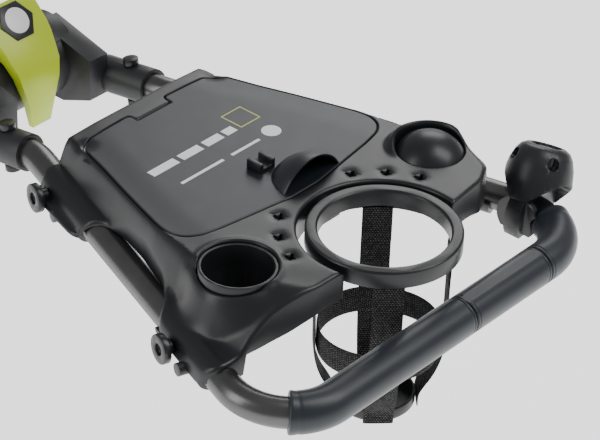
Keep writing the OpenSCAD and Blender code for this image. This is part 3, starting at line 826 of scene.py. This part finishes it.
def grip_radius(path, lip_end, lines, flat=None):
    """Radius along a grip: eased ends, a moulded ring near each seam, a lip on its free end and parting lines."""
    total = path_length(path)

    def radius(s, a):
        r = GRIP_R
        for d in (s, total - s):
            if d < 1.0:
                r -= 1.1 * (1 - d) ** 2
            if not (lip_end and d == total - s):
                r -= 0.55 * math.exp(-((d - 3.2) / 0.55) ** 2)
        if lip_end:
            d = total - s
            r += 0.35 * math.exp(-((d - 2.0) / 1.8) ** 2) - 0.4 * math.exp(-((d - 6.5) / 0.8) ** 2)
        for line in lines:
            off = (math.degrees(a) - line + 180) % 360 - 180
            r -= 0.4 * math.exp(-(off / 1.9) ** 2)
        if flat is not None:
            off = (math.degrees(a) - flat + 180) % 360 - 180
            if abs(off) < 20:
                r = min(r, 16.0 / math.cos(math.radians(off)))
        return r
    return radius


def build_grips():
    left = grip_path(SEAM_INNER + SEAM_HALF, BEND_X, 1, 44)
    right = grip_path(SEAM_OUTER - SEAM_HALF, -BEND_X, -1, 23)
    middle = grip_path(SEAM_OUTER + SEAM_HALF, SEAM_INNER - SEAM_HALF)
    for name, path, lip, lines, flat, node in (("grip_left_rubber", left, True, (62, 242), None, "grip_left"),
                                               ("grip_right_rubber", right, True, (118, 298), None, "grip_right"),
                                               ("grip_sleeve_rubber", middle, False, (74, 116), 95, "grip_sleeve")):
        obj = sweep(name, path, grip_radius(path, lip, lines, flat), "grip", 96)
        place(obj, "handle", [node])


build_handle()
build_grips()


# ---------- Webbing ----------
STITCH = 2.3
WEB_THICK = 1.3


def web_strip(name, path, outward, width, mat="webbing", thick=WEB_THICK, cup=0.25):
    """Flat webbing along a path in metres; outward gives its face's direction at each point."""
    across = 14
    edge = [(-1, 0)] + [(-1 + 2 * k / across, 1) for k in range(1, across)] + [(1, 0)]
    section = edge + [(x, -y) for x, y in reversed(edge[1:-1])]
    verts, uvs, along = [], [], 0.0
    for i, p in enumerate(path):
        t = (path[min(i + 1, len(path) - 1)] - path[max(i - 1, 0)]).normalized()
        n = Vector(outward[i]).normalized()
        n = (n - t * n.dot(t)).normalized()
        side = t.cross(n).normalized()
        if i:
            along += (p - path[i - 1]).length / MM
        for x, y in section:
            puff = thick / 2 * (1 - 0.35 * abs(x) ** 8) * y
            sag = -cup * x * x
            verts.append(p + (side * (x * width / 2) + n * (puff + sag)) * MM)
            uvs.append((x * width / 2 / STITCH, along / STITCH))
    count = len(section)
    faces = [(i * count + k, i * count + (k + 1) % count, (i + 1) * count + (k + 1) % count, (i + 1) * count + k)
             for i in range(len(path) - 1) for k in range(count)]
    faces += [tuple(range(count))[::-1], tuple((len(path) - 1) * count + k for k in range(count))]
    mesh = bpy.data.meshes.new(name)
    mesh.from_pydata([tuple(v) for v in verts], [], faces)
    layer = mesh.uv_layers.new(name="weave")
    for loop in mesh.loops:
        layer.data[loop.index].uv = uvs[loop.vertex_index]
    obj = bpy.data.objects.new(name, mesh)
    bpy.context.scene.collection.objects.link(obj)
    mesh.materials.append(MAT[mat])
    bm = bmesh.new()
    bm.from_mesh(mesh)
    bmesh.ops.recalc_face_normals(bm, faces=bm.faces)
    bm.to_mesh(mesh)
    bm.free()
    sharpen(obj, 60)
    return obj, along


def smooth_line(points, step, rounds=3):
    """A polyline with its corners softened by repeated cutting, then spaced evenly."""
    pts = [Vector(p) for p in points]
    for _ in range(rounds):
        cut = [pts[0]]
        for a, b in zip(pts, pts[1:]):
            cut += [a.lerp(b, 0.25), a.lerp(b, 0.75)]
        pts = cut + [pts[-1]]
    out, left = [pts[0]], step
    for a, b in zip(pts, pts[1:]):
        d = (b - a).length
        while left <= d:
            a = a.lerp(b, left / d)
            out.append(a)
            d = (b - a).length
            left = step
        left -= d
    out.append(pts[-1])
    return out


STRAP_W = 25.0
# Radius and height of a basket strap: its sewn tail inside, the turn under the ring, down and in to the base
STRAP_LINE = [(53.1, -48), (53.2, -30), (53.3, -17.5), (53.9, -15.3), (55.2, -15.3), (55.7, -17.5), (55.2, -32),
              (54.4, -60), (53.6, -85), (53.2, -105), (52.4, -120), (46.5, -138), (38.5, -151), (35.4, -158),
              (34.9, -163), (34.9, -169)]


def build_basket():
    straps = []
    for k, angle in enumerate((45, 135, 225, 315)):
        a = math.radians(angle)
        out = Vector((math.cos(a), math.sin(a), 0))
        line = smooth_line([Vector((r, z, 0)) for r, z in STRAP_LINE], 2.0)
        wave = [0.5 * math.sin(i * 0.11 + k * 1.7) for i in range(len(line))]
        path = [at(*(out * (p.x + (w if p.y < -20 and i > 20 else 0)) + Vector((0, 0, p.y))))
                for i, (p, w) in enumerate(zip(line, wave))]
        facing = []
        for i in range(len(line)):
            d = line[min(i + 1, len(line) - 1)] - line[max(i - 1, 0)]
            facing.append(out * -d.y + Vector((0, 0, 1)) * d.x)
        obj, length = web_strip("basket_strap_%d" % (k + 1), path, facing, STRAP_W)
        straps.append((obj, length))
    for k, (obj, length) in enumerate(straps):
        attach(obj, "handle")
        if k == 0:
            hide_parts("basket_straps")
    turns = np.radians(np.linspace(20, 408, 150))
    lap = math.radians(48)
    path, facing = [], []
    for t in turns:
        inner = smooth((t - turns[0]) / lap)
        r = 48.9 + 1.45 * inner - 0.5 * abs(math.sin(2 * (t - math.pi / 4)))
        path.append(at(r * math.cos(t), r * math.sin(t), -103 + 0.8 * math.sin(3 * t)))
        facing.append(Vector((math.cos(t), math.sin(t), 0)))
    hoop, length = web_strip("basket_hoop_band", path, facing, STRAP_W, cup=0.0)
    place(hoop, "handle", ["basket_hoop"])


MAIN_TILT = math.radians(90 + 59.5)
MAIN_ALONG = Vector((0, -math.sin(MAIN_TILT), math.cos(MAIN_TILT)))
MAIN_UP = Vector((0, math.cos(MAIN_TILT), math.sin(MAIN_TILT)))
BAG_R = 116.0


def main_point(s, x, up):
    """A point beside the main tube: s along it from the hub, x sideways, up towards the bag; mm."""
    return HUB + (MAIN_ALONG * s + Vector((1, 0, 0)) * x + MAIN_UP * up) * MM


def build_cradle_straps():
    for node, s in (("upper_strap", 150.0), ("lower_strap", 700.0)):
        turns = np.radians(np.linspace(270 - 52, 270 + 52, 60))
        r = BAG_R - 1.05
        path = [main_point(s + 15, r * math.cos(t), BAG_R + 27 + r * math.sin(t)) for t in turns]
        facing = [Vector((-math.cos(t), 0, 0)) - MAIN_UP * math.sin(t) for t in turns]
        obj, length = web_strip(node + "_web", path, facing, STRAP_W, cup=0.0)
        place(obj, "frame", [node])


build_basket()
build_cradle_straps()


# ---------- Wheels ----------
def tyre_mesh(name, node, body):
    """Foam tyre with blocks round its tread, on the CAD tyre's section."""
    low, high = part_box(node)
    centre = (low + high) / 2
    r = (high.z - low.z) / 2 / MM
    half = (high.x - low.x) / 2 / MM
    arc_r = 22.0
    reach = math.asin(min(0.999, half / arc_r))
    across = 34
    outline = [(-17.05, r - 13, 0), (-half + 0.8, r - 14.6, 0), (-half, r - 13.8, 0)]
    outline += [(arc_r * math.sin(a), r - arc_r + arc_r * math.cos(a), 1)
                for a in np.linspace(-reach, reach, across)]
    outline += [(half, r - 13.8, 0), (half - 0.8, r - 14.6, 0), (17.05, r - 13, 0)]
    around = 288
    blocks = 36
    verts, faces = [], []
    for i in range(around):
        t = 2 * math.pi * i / around
        for x, rad, tread in outline:
            if tread:
                lane = x / half
                phase = (i / around * blocks + (0.5 if x < 0 else 0) + 0.35 * abs(lane)) % 1
                slot = 1 - float(smooth(min(phase, 1 - phase) / 0.11 - 0.35))
                mid = math.exp(-(x / 1.3) ** 4)
                rad = rad - 1.7 * max(slot, mid) * float(smooth((1 - abs(lane)) / 0.12))
            verts.append(centre + Vector((x, rad * math.cos(t), rad * math.sin(t))) * MM)
    n = len(outline)
    for i in range(around):
        j = (i + 1) % around
        for k in range(n):
            m = (k + 1) % n
            faces.append((i * n + k, j * n + k, j * n + m, i * n + m))
    obj = add_mesh(name, verts, faces, "tyre")
    sharpen(obj, 38)
    place(obj, body, [node])


for side in ("left", "right", "front"):
    tyre_mesh("tyre_%s_tread" % side, "tyre_" + side, "wheel_" + side)


# ---------- Everything else keeps the CAD's shape, most of it with eased edges ---
EASE = {"fold_lever": 1.8, "hub_core": 1.2, "hub_cheek_left": 2.2, "hub_cheek_right": 2.2, "drink_ring": 1.0,
        "console_tray": 1.2, "cup_insert": 0.5, "badge_plate": 0.3, "badge_disc": 0.3, "basket_base": 0.7,
        "umbrella_socket": 0.8, "umbrella_petals": 0.4, "umbrella_bracket": 0.8, "tube_clamps": 1.0,
        "clamp_screws": 0.7, "sleeve_bolts": 0.5, "pencil_clip": 0.5, "upper_cradle": 1.2, "lower_cradle": 1.2,
        "rear_yoke": 1.2, "brake_pedal": 1.2, "rim_left": 1.0, "rim_right": 1.0, "rim_front": 1.0,
        "lower_hub": 1.2, "front_fork": 1.2}
MATERIAL_OF = {"console_tray": "black", "cup_insert": "black", "ball_dome": "console", "drink_ring": "console",
               "hub_core": "hub", "hub_cheek_left": "hub", "hub_cheek_right": "hub", "badge_disc": "white"}
PLAIN = {"ball_dome", "lid_hinge_pin", "lever_pin", "hub_pin", "brake_cables", "rear_axles", "front_axle", "leg_pin",
         "bearings_left", "bearings_right", "bearings_front", "rear_crossbar"}
for node, source in sorted(frame["nodes"].items()):
    if source.hide_render or source.get("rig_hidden"):
        continue
    mat = MATERIAL_OF.get(node)
    if node in PLAIN:
        source.data.materials.clear()
        source.data.materials.append(MAT[mat or SLOT_MATERIAL[NODE_SLOT[node]]])
        sharpen(source)
    else:
        refined(node, EASE.get(node, 0.6), mat)


# ---------- Stage, light and camera ----------
def build_stage():
    mat, _, shader = node_material("pale_floor")
    shader.inputs["Base Color"].default_value = (0.92, 0.92, 0.92, 1)
    shader.inputs["Roughness"].default_value = 0.9
    shader.inputs["Emission Color"].default_value = (1, 1, 1, 1)
    shader.inputs["Emission Strength"].default_value = 1.3
    mesh = bpy.data.meshes.new("floor")
    half = 12.0
    mesh.from_pydata([(-half, -half, 0), (half, -half, 0), (half, half, 0), (-half, half, 0)], [], [(0, 1, 2, 3)])
    floor = bpy.data.objects.new("floor", mesh)
    mesh.materials.append(mat)
    bpy.context.scene.collection.objects.link(floor)
    world = bpy.data.worlds.new("studio")
    world.use_nodes = True
    world.node_tree.nodes["Background"].inputs["Color"].default_value = (1, 1, 1, 1)
    world.node_tree.nodes["Background"].inputs["Strength"].default_value = 0.34
    bpy.context.scene.world = world


def softbox(name, place_at, target, size, power):
    light = bpy.data.lights.new(name, "AREA")
    light.shape = "RECTANGLE"
    light.size, light.size_y = size
    light.energy = power
    obj = bpy.data.objects.new(name, light)
    bpy.context.scene.collection.objects.link(obj)
    obj.location = place_at
    obj.rotation_euler = (Vector(target) - Vector(place_at)).to_track_quat("-Z", "Y").to_euler()
    return obj


def build_camera():
    """Camera looking down at the console from behind the user's left shoulder."""
    cam = bpy.data.cameras.new("camera")
    cam.lens = CAMERA_LENS
    cam.sensor_width = 36.0
    cam.clip_end = 60
    obj = bpy.data.objects.new("camera", cam)
    bpy.context.scene.collection.objects.link(obj)
    right, down, ahead = (Vector(v).normalized() for v in CAMERA_AXES)
    turn = Matrix((right, -down, -ahead)).transposed().to_4x4()
    obj.matrix_world = Matrix.Translation(at(*CAMERA_AT)) @ turn
    bpy.context.scene.camera = obj


CAMERA_LENS = 170.96
CAMERA_AT = (1479.1, 1164.5, 1270.6)
CAMERA_AXES = [(-0.66297, 0.74791, 0.03331), (0.39951, 0.39107, -0.82913), (-0.63314, -0.53638, -0.55806)]

build_stage()
softbox("back", at(-2300, -1500, 1500), at(0, -100, 0), (1.6, 1.6), 26)
softbox("key", at(-700, 900, 1700), at(0, -100, 0), (0.9, 1.6), 24)
softbox("side", at(1900, -900, 900), at(0, -150, -50), (0.7, 1.8), 16)
build_camera()

bpy.context.view_layer.update()
